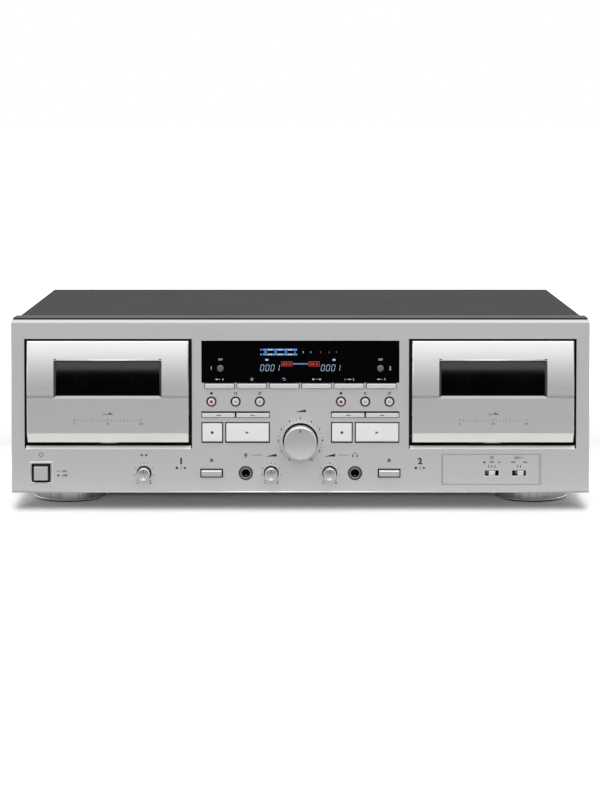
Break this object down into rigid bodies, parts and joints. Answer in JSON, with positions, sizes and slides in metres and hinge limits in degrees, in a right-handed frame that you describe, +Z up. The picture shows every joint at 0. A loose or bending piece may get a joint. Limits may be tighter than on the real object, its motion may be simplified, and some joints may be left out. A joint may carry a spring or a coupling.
{
  "type": "double cassette deck",
  "caption": "Silver hi-fi cassette deck with hinged doors, cassette holders, tape transports, display, keys, level knobs and jack sockets in a dark steel case.",
  "frame": {"origin": "on the floor, at the middle of the overall width and depth", "axes": "+X to the right as seen from the front, +Y from the front panel to the rear panel, +Z up"},
  "size_m": [0.435, 0.285, 0.145],
  "materials": {
    "silver_panel": "satin silver",
    "door_silver": "satin silver paint",
    "key_silver": "satin silver paint",
    "knob_metal": "satin turned",
    "black_moulding": "fine matt",
    "dark_window": "polished",
    "smoked_lens": "smoked, polished",
    "dark_steel": "fine satin paint",
    "plated_steel": "zinc plated",
    "screw_steel": "blackened",
    "foot_metal": "turned face",
    "socket_body": "moulded",
    "circuit_board": "solder resist",
    "transformer_core": "varnished",
    "spindle_plastic": "moulded"
  },
  "bodies": {
    "case": {"front_panel": "silver_panel", "front_frame": "black_moulding", "display_window": "dark_window", "bottom_chassis": "plated_steel", "rear_panel": "dark_steel", "top_cover": "dark_steel", "feet": "foot_metal", "case_screws": "screw_steel", "main_board": "circuit_board", "power_transformer": "transformer_core", "rear_sockets": "socket_body", "front_jacks": "socket_body", "control_boards": "circuit_board", "transport_frames": "plated_steel", "belt_drives": "plated_steel"},
    "door_1": {"door_cover_1": "door_silver", "door_lens_1": "smoked_lens", "cassette_holder_1": "black_moulding"},
    "door_2": {"door_cover_2": "door_silver", "door_lens_2": "smoked_lens", "cassette_holder_2": "black_moulding"},
    "record_level_knob": {"record_level_knob": "knob_metal"},
    "power_button": {"power_button": "key_silver"},
    "play_key_1": {"play_key_1": "key_silver"},
    "play_key_2": {"play_key_2": "key_silver"},
    "stop_key_1": {"stop_key_1": "key_silver"},
    "stop_key_2": {"stop_key_2": "key_silver"},
    "eject_button_1": {"eject_button_1": "key_silver"},
    "eject_button_2": {"eject_button_2": "key_silver"},
    "record_key_1": {"record_key_1": "key_silver"},
    "record_key_2": {"record_key_2": "key_silver"},
    "pause_key_1": {"pause_key_1": "key_silver"},
    "pause_key_2": {"pause_key_2": "key_silver"},
    "record_mute_key_1": {"record_mute_key_1": "key_silver"},
    "record_mute_key_2": {"record_mute_key_2": "key_silver"},
    "rewind_key_1": {"rewind_key_1": "key_silver"},
    "rewind_key_2": {"rewind_key_2": "key_silver"},
    "forward_key_1": {"forward_key_1": "key_silver"},
    "forward_key_2": {"forward_key_2": "key_silver"},
    "microphone_level_knob": {"microphone_level_knob": "knob_metal"},
    "headphone_level_knob": {"headphone_level_knob": "knob_metal"},
    "pitch_knob": {"pitch_knob": "knob_metal"},
    "timer_switch": {"timer_switch": "key_silver"},
    "noise_reduction_switch": {"noise_reduction_switch": "key_silver"},
    "counter_reset_button_1": {"counter_reset_button_1": "key_silver"},
    "counter_reset_button_2": {"counter_reset_button_2": "key_silver"},
    "return_to_zero_key_1": {"return_to_zero_key_1": "key_silver"},
    "dimmer_key": {"dimmer_key": "key_silver"},
    "repeat_key": {"repeat_key": "key_silver"},
    "parallel_record_key": {"parallel_record_key": "key_silver"},
    "dub_start_key": {"dub_start_key": "key_silver"},
    "return_to_zero_key_2": {"return_to_zero_key_2": "key_silver"},
    "head_carriage_1": {"head_carriage_1": "plated_steel"},
    "supply_spindle_1": {"supply_spindle_1": "spindle_plastic"},
    "take_up_spindle_1": {"take_up_spindle_1": "spindle_plastic"},
    "capstan_flywheel_1": {"capstan_flywheel_1": "plated_steel"},
    "head_carriage_2": {"head_carriage_2": "plated_steel"},
    "supply_spindle_2": {"supply_spindle_2": "spindle_plastic"},
    "take_up_spindle_2": {"take_up_spindle_2": "spindle_plastic"},
    "capstan_flywheel_2": {"capstan_flywheel_2": "plated_steel"}
  },
  "joints": [
    {"name": "door_1_turn", "type": "hinge", "parent": "case", "child": "door_1", "pos_m": [-0.14465, -0.1195, 0.055], "axis": [1, 0, 0], "range_deg": [0, 25]},
    {"name": "door_2_turn", "type": "hinge", "parent": "case", "child": "door_2", "pos_m": [0.14465, -0.1195, 0.055], "axis": [1, 0, 0], "range_deg": [0, 25]},
    {"name": "record_level_knob_turn", "type": "hinge", "parent": "case", "child": "record_level_knob", "pos_m": [0, -0.13, 0.0527], "axis": [0, 1, 0], "range_deg": [-150, 150]},
    {"name": "power_button_slide", "type": "slide", "parent": "case", "child": "power_button", "axis": [0, 1, 0], "range_m": [0, 0.003], "stiffness_N_per_m": 600},
    {"name": "play_key_1_slide", "type": "slide", "parent": "case", "child": "play_key_1", "axis": [0, 1, 0], "range_m": [0, 0.0008], "stiffness_N_per_m": 1000},
    {"name": "play_key_2_slide", "type": "slide", "parent": "case", "child": "play_key_2", "axis": [0, 1, 0], "range_m": [0, 0.0008], "stiffness_N_per_m": 1000},
    {"name": "stop_key_1_slide", "type": "slide", "parent": "case", "child": "stop_key_1", "axis": [0, 1, 0], "range_m": [0, 0.0008], "stiffness_N_per_m": 1000},
    {"name": "stop_key_2_slide", "type": "slide", "parent": "case", "child": "stop_key_2", "axis": [0, 1, 0], "range_m": [0, 0.0008], "stiffness_N_per_m": 1000},
    {"name": "eject_button_1_slide", "type": "slide", "parent": "case", "child": "eject_button_1", "axis": [0, 1, 0], "range_m": [0, 0.003], "stiffness_N_per_m": 400},
    {"name": "eject_button_2_slide", "type": "slide", "parent": "case", "child": "eject_button_2", "axis": [0, 1, 0], "range_m": [0, 0.003], "stiffness_N_per_m": 400},
    {"name": "record_key_1_slide", "type": "slide", "parent": "case", "child": "record_key_1", "axis": [0, 1, 0], "range_m": [0, 0.0008], "stiffness_N_per_m": 1000},
    {"name": "record_key_2_slide", "type": "slide", "parent": "case", "child": "record_key_2", "axis": [0, 1, 0], "range_m": [0, 0.0008], "stiffness_N_per_m": 1000},
    {"name": "pause_key_1_slide", "type": "slide", "parent": "case", "child": "pause_key_1", "axis": [0, 1, 0], "range_m": [0, 0.0008], "stiffness_N_per_m": 1000},
    {"name": "pause_key_2_slide", "type": "slide", "parent": "case", "child": "pause_key_2", "axis": [0, 1, 0], "range_m": [0, 0.0008], "stiffness_N_per_m": 1000},
    {"name": "record_mute_key_1_slide", "type": "slide", "parent": "case", "child": "record_mute_key_1", "axis": [0, 1, 0], "range_m": [0, 0.0008], "stiffness_N_per_m": 1000},
    {"name": "record_mute_key_2_slide", "type": "slide", "parent": "case", "child": "record_mute_key_2", "axis": [0, 1, 0], "range_m": [0, 0.0008], "stiffness_N_per_m": 1000},
    {"name": "rewind_key_1_slide", "type": "slide", "parent": "case", "child": "rewind_key_1", "axis": [0, 1, 0], "range_m": [0, 0.0008], "stiffness_N_per_m": 1000},
    {"name": "rewind_key_2_slide", "type": "slide", "parent": "case", "child": "rewind_key_2", "axis": [0, 1, 0], "range_m": [0, 0.0008], "stiffness_N_per_m": 1000},
    {"name": "forward_key_1_slide", "type": "slide", "parent": "case", "child": "forward_key_1", "axis": [0, 1, 0], "range_m": [0, 0.0008], "stiffness_N_per_m": 1000},
    {"name": "forward_key_2_slide", "type": "slide", "parent": "case", "child": "forward_key_2", "axis": [0, 1, 0], "range_m": [0, 0.0008], "stiffness_N_per_m": 1000},
    {"name": "microphone_level_knob_turn", "type": "hinge", "parent": "case", "child": "microphone_level_knob", "pos_m": [-0.02205, -0.13, 0.028], "axis": [0, 1, 0], "range_deg": [-150, 150]},
    {"name": "headphone_level_knob_turn", "type": "hinge", "parent": "case", "child": "headphone_level_knob", "pos_m": [0.02205, -0.13, 0.028], "axis": [0, 1, 0], "range_deg": [-150, 150]},
    {"name": "pitch_knob_turn", "type": "hinge", "parent": "case", "child": "pitch_knob", "pos_m": [-0.11785, -0.13, 0.028], "axis": [0, 1, 0], "range_deg": [-150, 150]},
    {"name": "timer_switch_slide", "type": "slide", "parent": "case", "child": "timer_switch", "axis": [1, 0, 0], "range_m": [-0.0024, 0.0024]},
    {"name": "noise_reduction_switch_slide", "type": "slide", "parent": "case", "child": "noise_reduction_switch", "axis": [1, 0, 0], "range_m": [-0.002, 0]},
    {"name": "counter_reset_button_1_slide", "type": "slide", "parent": "case", "child": "counter_reset_button_1", "axis": [0, 1, 0], "range_m": [0, 0.0008], "stiffness_N_per_m": 600},
    {"name": "counter_reset_button_2_slide", "type": "slide", "parent": "case", "child": "counter_reset_button_2", "axis": [0, 1, 0], "range_m": [0, 0.0008], "stiffness_N_per_m": 600},
    {"name": "return_to_zero_key_1_slide", "type": "slide", "parent": "case", "child": "return_to_zero_key_1", "axis": [0, 1, 0], "range_m": [0, 0.0008], "stiffness_N_per_m": 1000},
    {"name": "dimmer_key_slide", "type": "slide", "parent": "case", "child": "dimmer_key", "axis": [0, 1, 0], "range_m": [0, 0.0008], "stiffness_N_per_m": 1000},
    {"name": "repeat_key_slide", "type": "slide", "parent": "case", "child": "repeat_key", "axis": [0, 1, 0], "range_m": [0, 0.0008], "stiffness_N_per_m": 1000},
    {"name": "parallel_record_key_slide", "type": "slide", "parent": "case", "child": "parallel_record_key", "axis": [0, 1, 0], "range_m": [0, 0.0008], "stiffness_N_per_m": 1000},
    {"name": "dub_start_key_slide", "type": "slide", "parent": "case", "child": "dub_start_key", "axis": [0, 1, 0], "range_m": [0, 0.0008], "stiffness_N_per_m": 1000},
    {"name": "return_to_zero_key_2_slide", "type": "slide", "parent": "case", "child": "return_to_zero_key_2", "axis": [0, 1, 0], "range_m": [0, 0.0008], "stiffness_N_per_m": 1000},
    {"name": "head_carriage_1_slide", "type": "slide", "parent": "case", "child": "head_carriage_1", "axis": [0, 0, 1], "range_m": [0, 0.006], "stiffness_N_per_m": 60},
    {"name": "supply_spindle_1_turn", "type": "hinge", "parent": "case", "child": "supply_spindle_1", "pos_m": [-0.1659, -0.115, 0.0975], "axis": [0, 1, 0], "continuous": true},
    {"name": "take_up_spindle_1_turn", "type": "hinge", "parent": "case", "child": "take_up_spindle_1", "pos_m": [-0.1234, -0.115, 0.0975], "axis": [0, 1, 0], "continuous": true},
    {"name": "capstan_flywheel_1_turn", "type": "hinge", "parent": "case", "child": "capstan_flywheel_1", "pos_m": [-0.12465, -0.1, 0.0692], "axis": [0, 1, 0], "continuous": true},
    {"name": "head_carriage_2_slide", "type": "slide", "parent": "case", "child": "head_carriage_2", "axis": [0, 0, 1], "range_m": [0, 0.006], "stiffness_N_per_m": 60},
    {"name": "supply_spindle_2_turn", "type": "hinge", "parent": "case", "child": "supply_spindle_2", "pos_m": [0.1234, -0.115, 0.0975], "axis": [0, 1, 0], "continuous": true},
    {"name": "take_up_spindle_2_turn", "type": "hinge", "parent": "case", "child": "take_up_spindle_2", "pos_m": [0.1659, -0.115, 0.0975], "axis": [0, 1, 0], "continuous": true},
    {"name": "capstan_flywheel_2_turn", "type": "hinge", "parent": "case", "child": "capstan_flywheel_2", "pos_m": [0.16465, -0.1, 0.0692], "axis": [0, 1, 0], "continuous": true}
  ]
}
